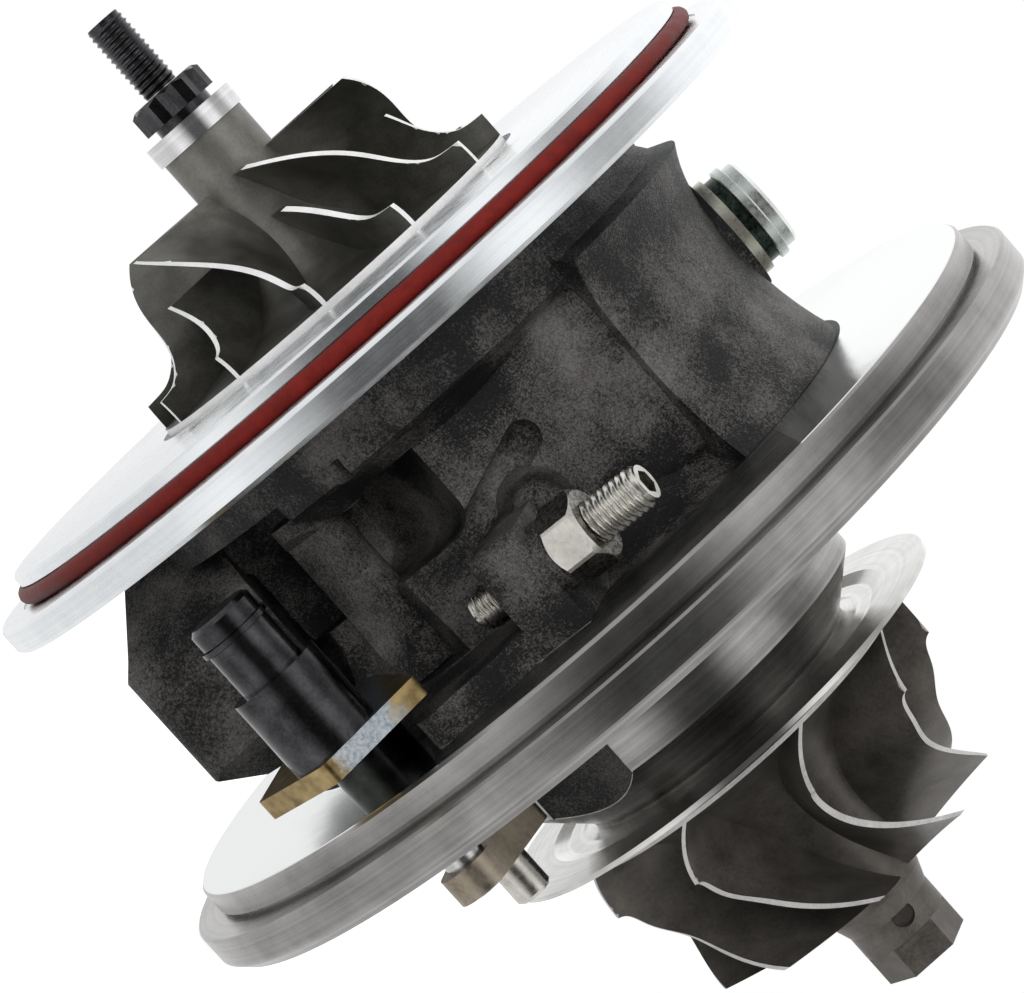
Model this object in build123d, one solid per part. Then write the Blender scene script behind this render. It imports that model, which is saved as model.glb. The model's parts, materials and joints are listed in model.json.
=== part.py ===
from build123d import *

import os
from math import cos, radians, sin

# Centre cartridge of a small variable-vane turbocharger, in millimetres.
# X runs along the shaft towards the turbine, Z points up to the oil inlet, and the
# lever side is at -Y. The origin is on the shaft axis, at the turbine flange's face.

os.makedirs("parts", exist_ok=True)

# Places along the shaft
SHAFT_TIP_X = -86.4
NUT_X = -76.5
NOSE_X = -72.5
HUB_X = -70.0
INDUCER_X = -64.6
EXDUCER_X = -51.6
WHEEL_FLOOR_X = -48.6
PLATE_FRONT_X = -47.85
RIM_FRONT_X = -44.4
CASTING_FRONT_X = -41.0
FLANGE_STEP_X = -8.4
FLANGE_RIM_X = -5.0
BOSS_END_X = 10.9
BOSS_TIP_X = 15.9
SHIELD_X = 15.9
TURBINE_BACK_X = 17.9
TURBINE_NOSE_X = 43.2
HEX_X = 48.4
HEX_END_X = 52.4

# Radii about the shaft
COMPRESSOR_R = 24.5
INDUCER_R = 17.3
HUB_R = 5.4
TURBINE_R = 23.9
TURBINE_EXIT_R = 19.9
PLATE_LIP_R = 47.6
PLATE_RIM_R = 52.6
PLATE_GROOVE_R = 46.6
BAND_R = 34.8
WAIST_R = 29.2
STEP_R = 55.3
FLANGE_R = 58.8
BOSS_R = 23.6
BOSS_TIP_R = 18.0
SHIELD_R = 30.0

# Bearings, shaft and seals
JOURNAL_R = 3.75
BEARING_IN_R = 3.79
BEARING_OUT_R = 6.46
BORE_R = 6.5
BEARING_LEN = 8.0
BEARING_X = (-30.0, -3.0)
BARREL_R = 11.0
CAVITY_R = 23.0
CAVITY_X = (-33.5, -2.0)
STUB_R = 2.5
THREAD_R = 2.0
SEAL_HUB_R = 7.6
SEAL_BORE_R = 7.66
SEAL_BORE_X = 7.6
RING_W = 1.2
COMPRESSOR_SEAL_R = 5.6
COMPRESSOR_SEAL_BORE_R = 5.66

# Compressor blades: a full blade and a splitter, six times
BLADE_PAIRS = 6
BLADE_WRAP = 46.0
BLADE_START = 3.0
BLADE_POWER = 2.3
BACKSWEEP = 6.0
SPLITTER_X = -58.6
COMPRESSOR_BLADE_T = (1.5, 0.5)

# Turbine blades
TURBINE_BLADES = 9
TURBINE_BLADE_T = (2.2, 0.5)
TURBINE_WAIST_X = 25.4

# Vane lever, seen from the compressor
PIVOT_Y, PIVOT_Z = -29.0, -29.7
PIVOT_R = 2.3
LEVER_X = (-16.45, -14.15)
LEVER_HUB_R = 6.0
LEVER_CORNERS = ((-42.2, -39.3), (-51.9, -32.0), (-46.9, -21.0))
LEVER_CORNER_R = 1.0
PIN_Y, PIN_Z = -46.8, -30.3
PIN_ROOT_R = 5.1
PIN_R = 3.7
PIN_TAIL_R = 3.0
PIN_STEP_X = -25.8
PIN_TIP_X = -34.2
CLIP_X = -31.9
CRANK_X = (4.3, 7.7)
CRANK_HUB_R = 3.5
CRANK_PIN_Y, CRANK_PIN_Z = -20.0, -27.1
CRANK_TAIL_Y, CRANK_TAIL_Z = -22.4, -22.4
CRANK_PIN_R = 2.2
CRANK_PIN_END_X = 13.6
BUSH_R = 3.6
BUSH_COLLAR_R = 4.6
BUSH_COLLAR_X = -13.6

# Stop screw, an M5 set screw with its locknut. Lengths run along the screw from the nut's seat
STOP_SEAT = (-15.45, -42.5, -1.9)
STOP_TILT = 22.5
STOP_ENDS = (-10.0, 13.0)
STOP_R = 2.45
STOP_HOLE_R = 2.5
STOP_NUT_AF = 8.0
STOP_NUT_START = 1.4
STOP_NUT_HEIGHT = 4.6
STOP_NUT_TURN = 52.0
LUG_THICKNESS = 6.3
LUG_TOP_X = -20.6

# Oil ports
INLET_X = -23.7
INLET_Z = 36.3
INLET_R = 6.3
INLET_HOLE_R = 1.9
INLET_PAD_R = 7.4
INLET_THREAD_R = 4.6
INLET_MOUTH_R = 2.6
DRAIN_X = -24.5
DRAIN_Z = -44.7
DRAIN_R = 5.6
DRAIN_BOLT_SPACING = 26.0
DRAIN_BOLT_R = 2.5
DRAIN_HALF_Y = 19.0

# Thrust end and seal plate
THRUST_X = -30.6
THRUST_PLATE_R = 14.0
SPIGOT_R = 17.8
SPIGOT_X = -37.6
GROOVE_X = (-46.5, RIM_FRONT_X)
O_RING_SECTION_R = 1.0
STEP_RELIEF = 0.15
PLATE_SCREWS = 4
FIRST_SCREW_TURN = 45.0
SCREW_HOLE_SLACK = 0.05
SCREW_CIRCLE_R = 29.5
SCREW_R = 2.0
SCREW_HEAD_R = 3.8
CLIP_PLACES = (-22.0, -4.0, 5.2)

# Casting's outer form and its turbine side
SADDLE_TURN = 117.5
WEB_Y = -29.6
VANE_SCREWS = 3
FIRST_VANE_TURN = 90.0
VANE_SCREW_CIRCLE_R = 46.0
VANE_SCREW_R = 2.1
SHIELD_T = 0.6
DOWEL_TURNS = (200, 340)
DOWEL_CIRCLE_R = 34.0
DOWEL_R = 2.0
CRANK_ROOM_R = 20.6
BOSS_CORE_R = 12.5


def turned(points):
    """Solid of revolution about the shaft from (x, radius) corners."""
    return revolve(make_face(Polyline(*points, close=True)), Axis.X, 360)


def turned_curve(*curves):
    """Solid of revolution about the shaft from joined curves."""
    edges = [edge for curve in curves for edge in curve.edges()]
    return revolve(make_face(Wire(edges)), Axis.X, 360)


def round_bar(radius, x0, x1, y=0.0, z=0.0):
    """Round bar along X between two places."""
    plane = Plane(origin=(x0, y, z), x_dir=(0, 1, 0), z_dir=(1, 0, 0))
    return extrude(plane * Circle(radius), x1 - x0)


def upright_bar(radius, z0, z1, x=0.0, y=0.0):
    """Round bar along Z between two heights."""
    return extrude(Plane.XY.offset(z0) * Pos(x, y) * Circle(radius), z1 - z0)


def ring(outer, inner, x0, x1):
    """Flat ring about the shaft."""
    return turned([(x0, inner), (x0, outer), (x1, outer), (x1, inner)])


def o_ring(centre_r, section_r, x):
    """Round-section ring about the shaft."""
    return revolve(Pos(x, centre_r) * Circle(section_r), Axis.X, 360)


def around(solid, count, first=0.0):
    """Copies of a solid spaced evenly about the shaft."""
    return [Rot(X=first + 360.0 / count * i) * solid for i in range(count)]


def save(node, solid):
    """Write one named piece."""
    export_step(solid, f"parts/{node}.step")


# Blades

def blade_section(x, angle, half_widths, radii, sweep):
    """Closed outline of a blade, cut square to the shaft at x."""
    def point(radius, side):
        share = (radius - radii[0]) / (radii[-1] - radii[0])
        half = half_widths[0] + (half_widths[1] - half_widths[0]) * share
        turn = radians(angle + sweep(radius)) + side * half / radius
        return (x, -radius * cos(turn), radius * sin(turn))

    flank_a = Spline(*[point(r, -1) for r in radii])
    flank_b = Spline(*[point(r, 1) for r in radii])
    tip = Line(flank_a @ 1, flank_b @ 1)
    root = Line(flank_b @ 0, flank_a @ 0)
    return Wire([flank_a, tip, flank_b, root])


def blade(stations, angle_at, thickness, radii, sweep, passage):
    """One blade, lofted along the shaft and trimmed to the gas passage."""
    halves = (thickness[0] / 2, thickness[1] / 2)
    sections = [blade_section(x, angle_at(x), halves, radii, sweep) for x in stations]
    return Solid.make_loft(sections) & passage


def even(start, stop, count):
    """Evenly spaced places."""
    return [start + (stop - start) * i / (count - 1) for i in range(count)]


def compressor_wheel():
    """Cast wheel with six full blades, six splitters and a turned nose."""
    def angle_at(x):
        share = min(max((x - INDUCER_X) / (WHEEL_FLOOR_X - INDUCER_X), -0.05), 1.0)
        return BLADE_START + BLADE_WRAP * (1 - (1 - share) ** BLADE_POWER)

    def sweep(radius):
        return BACKSWEEP * (max(radius - 18.0, 0.0) / 6.5) ** 1.5

    hub_line = Spline((INDUCER_X, HUB_R), (-56.6, 7.0), (-51.4, 12.6), (WHEEL_FLOOR_X, COMPRESSOR_R),
                      tangents=((1, 0), (0.06, 1)))
    nose = [(HUB_X, HUB_R), (HUB_X, HUB_R + 0.45), (NOSE_X, HUB_R + 0.45)]
    back_x = WHEEL_FLOOR_X + 1.2
    hub = turned_curve(
        hub_line,
        Polyline(hub_line @ 1, (back_x, COMPRESSOR_R), (back_x, 15.0), (back_x + 1.0, 9.0),
                 (back_x + 1.0, STUB_R), (NOSE_X, STUB_R), nose[2], nose[1], nose[0], hub_line @ 0))
    shroud = Spline((INDUCER_X, INDUCER_R), (-59.4, 17.9), (-54.2, 19.2), (-52.2, 21.2),
                    (EXDUCER_X, COMPRESSOR_R), tangents=((1, 0.06), (0.06, 1)))
    inner = Spline((INDUCER_X, HUB_R - 1.2), (-56.2, 6.0), (-50.9, 11.6), (WHEEL_FLOOR_X + 0.8, COMPRESSOR_R),
                   tangents=((1, 0), (0.06, 1)))
    passage = turned_curve(
        shroud, Line(shroud @ 1, inner @ 1), inner, Line(inner @ 0, shroud @ 0))
    late_passage = passage & ring(COMPRESSOR_R + 2, 3.0, SPLITTER_X, WHEEL_FLOOR_X + 2)
    radii = (3.6, 10.0, 16.0, 21.0, COMPRESSOR_R + 0.6)
    full_x = even(INDUCER_X - 0.4, WHEEL_FLOOR_X + 1.0, 8)
    late_x = even(SPLITTER_X - 0.4, WHEEL_FLOOR_X + 1.0, 6)
    full = blade(full_x, angle_at, COMPRESSOR_BLADE_T, radii, sweep, passage)
    late = blade(late_x, lambda x: angle_at(x) - 30.0, COMPRESSOR_BLADE_T, radii, sweep, late_passage)
    balance_cut = Rot(X=-50) * Pos(HUB_X - 1.6, 0.0, HUB_R + 2.4) * Sphere(2.4)
    return hub + around(full, BLADE_PAIRS) + around(late, BLADE_PAIRS) - balance_cut


def turbine_angle(x):
    """Angle of a turbine blade's radial line at x."""
    ahead = max(TURBINE_WAIST_X - x, 0.0)
    behind = max(x - TURBINE_WAIST_X, 0.0)
    return 5.0 + 0.19 * ahead ** 2 + 0.126 * behind ** 2.15


def turbine_wheel():
    """Cast wheel with nine blades, a nose with a driving hexagon and a balancing cut."""
    rim_x = TURBINE_BACK_X + 0.5
    hub_line = Spline((rim_x, TURBINE_R), (22.6, 14.0), (29.5, 9.0), (TURBINE_NOSE_X - 2.0, 6.6),
                      tangents=((0.15, -1), (1, -0.1)))
    hub = turned_curve(
        hub_line,
        Polyline(hub_line @ 1, (TURBINE_NOSE_X, 6.3), (TURBINE_NOSE_X + 2.2, 5.5), (HEX_X, 5.5),
                 (HEX_X, 0), (TURBINE_BACK_X - 2.0, 0), (TURBINE_BACK_X - 2.0, SEAL_HUB_R),
                 (TURBINE_BACK_X, SEAL_HUB_R + 1.4), (TURBINE_BACK_X, TURBINE_R), hub_line @ 0))
    tip = Polyline((TURBINE_BACK_X + 0.1, TURBINE_R), (24.6, TURBINE_R))
    shroud = Spline((24.6, TURBINE_R), (27.4, 21.9), (31.6, 19.6), (35.4, 19.3), (39.2, TURBINE_EXIT_R),
                    tangents=((0.25, -1), (1, 0.2)))
    exit_edge = Polyline(shroud @ 1, (TURBINE_NOSE_X - 0.6, 5.0), (TURBINE_BACK_X + 0.1, 5.0), tip @ 0)
    passage = turned_curve(tip, shroud, exit_edge)
    radii = (4.4, 14.0, TURBINE_R + 0.8)
    stations = even(TURBINE_BACK_X - 0.2, TURBINE_NOSE_X, 8)
    one = blade(stations, turbine_angle, TURBINE_BLADE_T, radii, lambda r: 0.0, passage)
    hexagon = Plane(origin=(HEX_X, 0, 0), z_dir=(1, 0, 0)) * RegularPolygon(4.75, 6, major_radius=False)
    nose = extrude(hexagon, HEX_END_X - HEX_X)
    balance_cut = Pos(TURBINE_NOSE_X + 2.7, -5.6, 0.7) * Rot(X=90) * Cylinder(1.4, 3.2)
    balance_cut -= Pos(TURBINE_NOSE_X, -5.6, 0.7) * Box(4.2, 5.0, 5.0)
    return hub + around(one, TURBINE_BLADES) + nose - balance_cut


# Shaft, nut and the rotor's small turned pieces

def rotor_shaft():
    """Ground shaft from the turbine hub to the threaded tip."""
    seal_x = BOSS_TIP_X - 3.4
    profile = [
        (TURBINE_BACK_X - 2.0, 0), (TURBINE_BACK_X - 2.0, SEAL_HUB_R),
        (seal_x + RING_W, SEAL_HUB_R), (seal_x + RING_W, SEAL_HUB_R - 1.2),
        (seal_x, SEAL_HUB_R - 1.2), (seal_x, SEAL_HUB_R), (seal_x - 3.0, SEAL_HUB_R),
        (seal_x - 3.0, 5.0), (7.8, 5.0), (6.8, JOURNAL_R), (THRUST_X, JOURNAL_R),
        (THRUST_X, STUB_R), (NOSE_X + 0.3, STUB_R), (NOSE_X, THREAD_R),
        (SHAFT_TIP_X + 0.6, THREAD_R), (SHAFT_TIP_X, THREAD_R - 0.5), (SHAFT_TIP_X, 0)]
    return turned(profile)


def shaft_nut():
    """Twelve-point collar nut on the threaded tip."""
    plane = Plane(origin=(NUT_X, 0, 0), z_dir=(1, 0, 0))
    star = RegularPolygon(4.7, 6) + Rot(Z=30) * RegularPolygon(4.7, 6)
    head = extrude(plane * star, 3.0)
    bevel = turned([(NUT_X, 0), (NUT_X, 4.1), (NUT_X + 0.6, 4.9), (NUT_X + 3.0, 4.9), (NUT_X + 3.0, 0)])
    neck = round_bar(3.6, NUT_X + 3.0, NOSE_X)
    return (head & bevel) + neck - round_bar(THREAD_R, NUT_X - 1, NOSE_X + 1)


def thrust_collar():
    """Spool on the shaft that carries the thrust bearing between its two lips."""
    return turned([
        (THRUST_X, STUB_R), (THRUST_X, 6.4), (THRUST_X - 1.2, 6.4), (THRUST_X - 1.2, 4.8),
        (THRUST_X - 3.6, 4.8), (THRUST_X - 3.6, STUB_R)])


def oil_flinger():
    """Slinger with the compressor-side seal hub."""
    x = THRUST_X - 3.6
    groove = x - 4.6
    back = WHEEL_FLOOR_X + 2.2
    return turned([
        (x, STUB_R), (x, 6.4), (x - 1.2, 6.4), (x - 1.2, 7.4), (x - 1.9, 7.4), (x - 2.4, COMPRESSOR_SEAL_R),
        (groove + RING_W, COMPRESSOR_SEAL_R), (groove + RING_W, COMPRESSOR_SEAL_R - 1.0),
        (groove, COMPRESSOR_SEAL_R - 1.0), (groove, COMPRESSOR_SEAL_R), (back, COMPRESSOR_SEAL_R),
        (back, STUB_R)])


def piston_ring(outer, depth, x):
    """Split sealing ring that springs out against its bore."""
    gap = Pos(x + RING_W / 2, 0, -outer) * Box(RING_W * 2, 0.4, depth * 4)
    return ring(outer, outer - depth, x + 0.05, x + RING_W - 0.05) - gap


# Bearings

def journal_bearing(x):
    """Full-floating bronze bush with a ring of oil holes and relieved ends."""
    body = turned([
        (x, BEARING_IN_R + 0.3), (x + 0.3, BEARING_IN_R), (x + BEARING_LEN - 0.3, BEARING_IN_R),
        (x + BEARING_LEN, BEARING_IN_R + 0.3), (x + BEARING_LEN, BEARING_OUT_R - 0.4),
        (x + BEARING_LEN - 0.4, BEARING_OUT_R), (x + 0.4, BEARING_OUT_R), (x, BEARING_OUT_R - 0.4)])
    drill = Pos(x + BEARING_LEN / 2, 0, 0) * Cylinder(0.8, BEARING_OUT_R * 2 + 1)
    for turn in range(0, 180, 60):
        body -= Rot(X=turn) * drill
    return body


def circlip(x):
    """Retaining ring in the bearing bore, open at the bottom."""
    gap = Pos(x + 0.5, 0, -BORE_R) * Box(3, 4.0, 4.4)
    return ring(BORE_R + 0.6, BORE_R - 1.0, x + 0.05, x + 0.95) - gap


def thrust_bearing():
    """Bronze thrust plate with six tapered pads' oil grooves and a key flat."""
    x = THRUST_X - 3.4
    plate = ring(THRUST_PLATE_R, 4.95, x, x + 2.0)
    slot = Pos(x, 0, 5.9) * Box(0.8, 0.9, 2.4)
    foot_window = Pos(x + 1.0, 0, -THRUST_PLATE_R + 1.5) * Box(4, 9.0, 7.0)
    return plate - around(slot, 6, 30) - foot_window


# Backplate side

def backplate():
    """Turned aluminium seal plate with an O-ring groove and a recess for the wheel."""
    x = PLATE_FRONT_X
    edge = 0.5
    relief_x = GROOVE_X[1] + STEP_RELIEF
    plate = turned([
        (x, COMPRESSOR_R + 0.9), (x, PLATE_LIP_R - 0.3), (x + 0.3, PLATE_LIP_R), (GROOVE_X[0], PLATE_LIP_R),
        (GROOVE_X[0], PLATE_GROOVE_R), (relief_x, PLATE_GROOVE_R), (relief_x, PLATE_GROOVE_R + 2.4),
        (GROOVE_X[1], PLATE_GROOVE_R + 2.4), (GROOVE_X[1], PLATE_RIM_R - edge),
        (GROOVE_X[1] + edge, PLATE_RIM_R), (CASTING_FRONT_X - edge, PLATE_RIM_R),
        (CASTING_FRONT_X, PLATE_RIM_R - edge), (CASTING_FRONT_X, SPIGOT_R), (SPIGOT_X, SPIGOT_R),
        (SPIGOT_X, 17.0), (x + 5.4, 12.0), (x + 5.4, COMPRESSOR_SEAL_BORE_R),
        (x + 2.1, COMPRESSOR_SEAL_BORE_R), (x + 2.1, 10.0), (x + 1.5, 15.6), (x + 1.5, COMPRESSOR_R + 0.9)])
    sunk = around(screw_place(SCREW_HOLE_SLACK), PLATE_SCREWS, FIRST_SCREW_TURN)
    return plate - sunk


def screw_place(slack):
    """Countersunk screw at the pitch circle, with slack for the hole that takes it."""
    x = PLATE_FRONT_X
    shank = SCREW_R + slack
    head = [(x - slack, 0), (x - slack, SCREW_HEAD_R + slack), (x + SCREW_HEAD_R - SCREW_R, shank),
            (CASTING_FRONT_X + 3.6, shank), (CASTING_FRONT_X + 3.6, 0)]
    return Pos(0, 0, SCREW_CIRCLE_R) * turned(head)


def backplate_screws():
    """Four countersunk screws with star sockets."""
    socket = extrude(Plane(origin=(PLATE_FRONT_X, 0, SCREW_CIRCLE_R), z_dir=(1, 0, 0)) * (
        RegularPolygon(1.3, 3) + Rot(Z=60) * RegularPolygon(1.3, 3)), 1.4)
    return Compound(children=around(screw_place(0) - socket, PLATE_SCREWS, FIRST_SCREW_TURN))


# Bearing housing

def housing_spool():
    """Outer form of the casting between its two flanges, with the turbine flange."""
    return turned_curve(
        Polyline((BOSS_TIP_X, 0), (CASTING_FRONT_X, 0), (CASTING_FRONT_X, BAND_R), (-34.4, BAND_R),
                 (-33.8, BAND_R - 1.1), (-33.6, BAND_R - 2.4), (-31.2, WAIST_R), (-19.0, WAIST_R),
                 (-14.0, WAIST_R + 1.6)),
        ThreePointArc((-14.0, WAIST_R + 1.6), (-10.6, WAIST_R + 4.0), (FLANGE_STEP_X, 37.0)),
        Polyline((FLANGE_STEP_X, 37.0), (FLANGE_STEP_X, STEP_R - 0.4), (FLANGE_STEP_X + 0.4, STEP_R),
                 (FLANGE_RIM_X - 0.6, STEP_R), (FLANGE_RIM_X - 0.6, STEP_R - 1.0),
                 (FLANGE_RIM_X, STEP_R - 1.0), (FLANGE_RIM_X, FLANGE_R - 0.3), (FLANGE_RIM_X + 0.3, FLANGE_R),
                 (-1.3, FLANGE_R), (0, FLANGE_R - 1.3), (0, BOSS_R), (BOSS_END_X - 0.4, BOSS_R),
                 (BOSS_END_X, BOSS_R - 0.4), (BOSS_TIP_X, BOSS_TIP_R), (BOSS_TIP_X, 0)))


def saddle():
    """Thicker top of the barrel, under the oil inlet, with a flared edge towards the compressor."""
    flare = Polyline((-38.4, 34.3), (-36.4, 35.8), (-35.4, 38.3))
    near = ThreePointArc(flare @ 1, (-31.6, 36.6), (-26.5, 36.0))
    far = ThreePointArc(near @ 1, (-17.0, 36.1), (FLANGE_STEP_X, 38.2))
    inside = Polyline(far @ 1, (FLANGE_STEP_X, 20.0), (-38.4, 20.0), flare @ 0)
    edges = [edge for curve in (flare, near, far, inside) for edge in curve.edges()]
    return Rot(X=90 - SADDLE_TURN / 2) * revolve(make_face(Wire(edges)), Axis.X, SADDLE_TURN)


def near_web():
    """Flat wall on the lever side, from the lug to the saddle."""
    outline = [(-33.0, -8.0), (-34.0, 21.5), (-11.0, 21.5), (-9.5, -8.0)]
    depth = -WEB_Y - 12.0
    wall = extrude(Plane.XZ.offset(12.0) * make_face(Polyline(*outline, close=True)), depth)
    return fillet(wall.edges().filter_by(Axis.Z, 3).group_by(Axis.Y)[0], 2.4)


def drain_lobe():
    """Block under the barrel, bevelled all round, with the flat oil drain face."""
    side = [(-40.6, -28.0), (-39.6, -38.4), (-33.7, -43.0), (-31.8, DRAIN_Z), (-18.0, DRAIN_Z),
            (-14.4, -40.2), (-12.0, -28.0)]
    block = extrude(Plane.XZ * make_face(Polyline(*side, close=True)), DRAIN_HALF_Y, both=True)
    block = fillet(block.edges().filter_by(Axis.X).group_by(Axis.Z)[0], 2.0)
    top = [(-40.6, -9.0), (-31.9, -DRAIN_HALF_Y), (-18.6, -DRAIN_HALF_Y), (-12.6, -13.0)]
    top += [(x, -y) for x, y in reversed(top)]
    return block & extrude(Plane.XY.offset(-50.0) * make_face(Polyline(*top, close=True)), 30.0)


def along_stop(shape, start, end):
    """A flat shape drawn out along the stop screw."""
    tilt = radians(STOP_TILT)
    direction = Vector(0, -sin(tilt), cos(tilt))
    plane = Plane(origin=Vector(*STOP_SEAT) + direction * start, x_dir=(1, 0, 0), z_dir=direction)
    return extrude(plane * shape, end - start)


def stop_lug():
    """Cast lug that the stop screw passes through, with a low pad beside it."""
    height = FLANGE_STEP_X - LUG_TOP_X
    profile = Pos(LUG_TOP_X - STOP_SEAT[0] + height / 2, 4.4) * Rectangle(height, 16.0)
    near_top = profile.vertices().group_by(Axis.X)[0].sort_by(Axis.Y)[0]
    lug = along_stop(fillet(near_top, 1.8), -LUG_THICKNESS, 0)
    lug += along_stop(Circle(STOP_NUT_AF / 2), -1.0, STOP_NUT_START)
    pad = Pos(FLANGE_STEP_X - 1.6, -36.4, -15.8) * Box(3.6, 15.0, 15.0)
    return lug + fillet(pad.edges().filter_by(Axis.X), 2.0)


def lever_room():
    """Hollow round the lever's pivot, with a rounded back wall and an arch under the band."""
    room = round_bar(24.4, -31.9, -21.4, PIVOT_Y, PIVOT_Z)
    room = fillet(room.edges().group_by(Axis.X)[-1], 3.0) + round_bar(15.0, -22.0, -11.8, PIVOT_Y, PIVOT_Z)
    room += round_bar(18.4, -36.4, -31.0, PIVOT_Y, PIVOT_Z)
    room -= Pos(-25.0, 9.6, -30.0) * Box(40.0, 40.0, 80.0)
    bulge = Pos(-35.9, -27.0, -14.8) * Sphere(5.2)
    return room - bulge - round_bar(3.6, -34.0, -12.0, -19.4, -19.0)


def oil_ways(body):
    """Cuts the bearing bore, the oil ways and the seats from the casting."""
    cavity = round_bar(CAVITY_R, *CAVITY_X) & Pos(sum(CAVITY_X) / 2, 8.0, -4.0) * Box(60, 30, 44)
    body -= cavity - round_bar(BARREL_R, *CAVITY_X)
    body -= round_bar(BORE_R, CASTING_FRONT_X, SEAL_BORE_X)
    body -= round_bar(THRUST_PLATE_R + 0.04, CASTING_FRONT_X - 1, THRUST_X + 0.2)
    body -= ring(SPIGOT_R + 0.04, 0, CASTING_FRONT_X - 1, SPIGOT_X + 0.3)
    body -= round_bar(SEAL_BORE_R, SEAL_BORE_X, BOSS_TIP_X + 1)
    body -= upright_bar(DRAIN_R, DRAIN_Z - 1, -12.0, DRAIN_X)
    body -= upright_bar(INLET_THREAD_R, INLET_Z - 9.0, INLET_Z + 1, INLET_X)
    body -= upright_bar(INLET_HOLE_R, 0, INLET_Z, INLET_X)
    body -= round_bar(1.2, BEARING_X[0] + 4.0, BEARING_X[1] + 4.0, z=BARREL_R - 2.6)
    for x in BEARING_X:
        body -= upright_bar(1.2, 0, BARREL_R - 2.6, x + BEARING_LEN / 2)
    for x in CLIP_PLACES:
        body -= ring(BORE_R + 0.7, 0, x, x + 1.0)
    return body


def bolt_holes(body):
    """Cuts the holes for screws, dowels and bushes from the casting."""
    for side in (-1, 1):
        place = side * DRAIN_BOLT_SPACING / 2
        body -= upright_bar(DRAIN_BOLT_R, DRAIN_Z - 1, DRAIN_Z + 8.0, DRAIN_X, place)
    plate_hole = round_bar(SCREW_R + SCREW_HOLE_SLACK, CASTING_FRONT_X - 1, -37.0, z=SCREW_CIRCLE_R)
    vane_hole = round_bar(VANE_SCREW_R, -6.0, 1.0, z=VANE_SCREW_CIRCLE_R)
    body -= around(plate_hole, PLATE_SCREWS, FIRST_SCREW_TURN)
    body -= around(vane_hole, VANE_SCREWS, FIRST_VANE_TURN)
    for turn in DOWEL_TURNS:
        body -= Rot(X=turn) * Pos(0, 0, DOWEL_CIRCLE_R) * round_bar(DOWEL_R, -3.6, 1.0)
    body -= round_bar(BUSH_R, -13.0, 1.0, PIVOT_Y, PIVOT_Z)
    return body - along_stop(Circle(STOP_HOLE_R), -LUG_THICKNESS - 2, STOP_NUT_START + 1)


def bearing_housing():
    """The casting with its saddle, web, lobes, bearing bore, oil ways and pockets."""
    groove = Cylinder(2.0, 11.0) + Pos(0, 0, 5.5) * Sphere(2.0) + Pos(0, 0, -5.5) * Sphere(2.0)
    groove = Pos(-22.9, WEB_Y - 0.3, -1.2) * Rot(Y=-21) * groove
    hump = Cone(4.4, 3.1, 7.4) + Pos(0, 0, 3.7) * Sphere(3.1)
    hump = Pos(-18.8, -30.7, 0.6) * Rot(X=90) * hump
    body = housing_spool() + saddle() + near_web() - lever_room() - groove + hump
    body += upright_bar(INLET_PAD_R, 28.0, INLET_Z, INLET_X)
    body += drain_lobe() + stop_lug()
    crank_room = round_bar(CRANK_ROOM_R, 0.0, BOSS_END_X + 6, PIVOT_Y, PIVOT_Z)
    body -= crank_room - round_bar(BOSS_CORE_R, -1, BOSS_TIP_X + 1)
    return bolt_holes(oil_ways(body))


# Turbine side

def heat_shield():
    """Pressed steel disc with a raised bead and a bored middle."""
    t = SHIELD_T
    x = SHIELD_X
    return turned([
        (x, 8.6), (x, BOSS_TIP_R + 0.3), (x + 0.6, 20.0), (x + 0.6, 22.2), (x, 24.0), (x, SHIELD_R),
        (x + t, SHIELD_R), (x + t, 23.8), (x + 0.6 + t, 22.0), (x + 0.6 + t, 20.2), (x + t, 18.0),
        (x + t, 8.6)])


def dowels():
    """Two pins that place the vane ring on the flange."""
    pin = Pos(0, 0, DOWEL_CIRCLE_R) * (round_bar(DOWEL_R, -3.5, 2.6) + turned(
        [(2.6, 0), (2.6, DOWEL_R), (3.2, DOWEL_R - 0.5), (3.2, 0)]))
    return Compound(children=[Rot(X=turn) * pin for turn in DOWEL_TURNS])


# Vane lever

def rounded_hull(circles, x0, x1):
    """Plate whose outline wraps round circles given as (y, z, radius)."""
    plane = Plane(origin=(x0, 0, 0), x_dir=(0, 1, 0), z_dir=(1, 0, 0))
    outline = make_hull([edge for y, z, r in circles for edge in (Pos(y, z) * Circle(r)).edges()])
    return extrude(plane * outline, x1 - x0)


def lever_arm():
    """Pressed steel arm that wraps round the pivot and carries the pin."""
    corners = [(y, z, LEVER_CORNER_R) for y, z in LEVER_CORNERS]
    arm = rounded_hull([(PIVOT_Y, PIVOT_Z, LEVER_HUB_R), *corners], *LEVER_X)
    arm -= round_bar(PIVOT_R, LEVER_X[0] - 1, LEVER_X[1] + 1, PIVOT_Y, PIVOT_Z)
    return arm - round_bar(PIN_TAIL_R, LEVER_X[0] - 1, LEVER_X[1] + 1, PIN_Y, PIN_Z)


def actuator_pin():
    """Stepped pin for the actuator rod, riveted through the arm, with a clip groove."""
    pin = turned([
        (LEVER_X[1] + 0.5, 0), (LEVER_X[1] + 0.5, PIN_TAIL_R - 0.4), (LEVER_X[1], PIN_TAIL_R),
        (LEVER_X[0], PIN_TAIL_R),
        (LEVER_X[0], PIN_ROOT_R), (PIN_STEP_X, PIN_ROOT_R), (PIN_STEP_X, PIN_R),
        (CLIP_X + 0.8, PIN_R), (CLIP_X + 0.8, PIN_R - 0.8), (CLIP_X, PIN_R - 0.8), (CLIP_X, PIN_R),
        (PIN_TIP_X + 0.5, PIN_R), (PIN_TIP_X, PIN_R - 0.5), (PIN_TIP_X, 0)])
    return Pos(0, PIN_Y, PIN_Z) * pin


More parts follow.
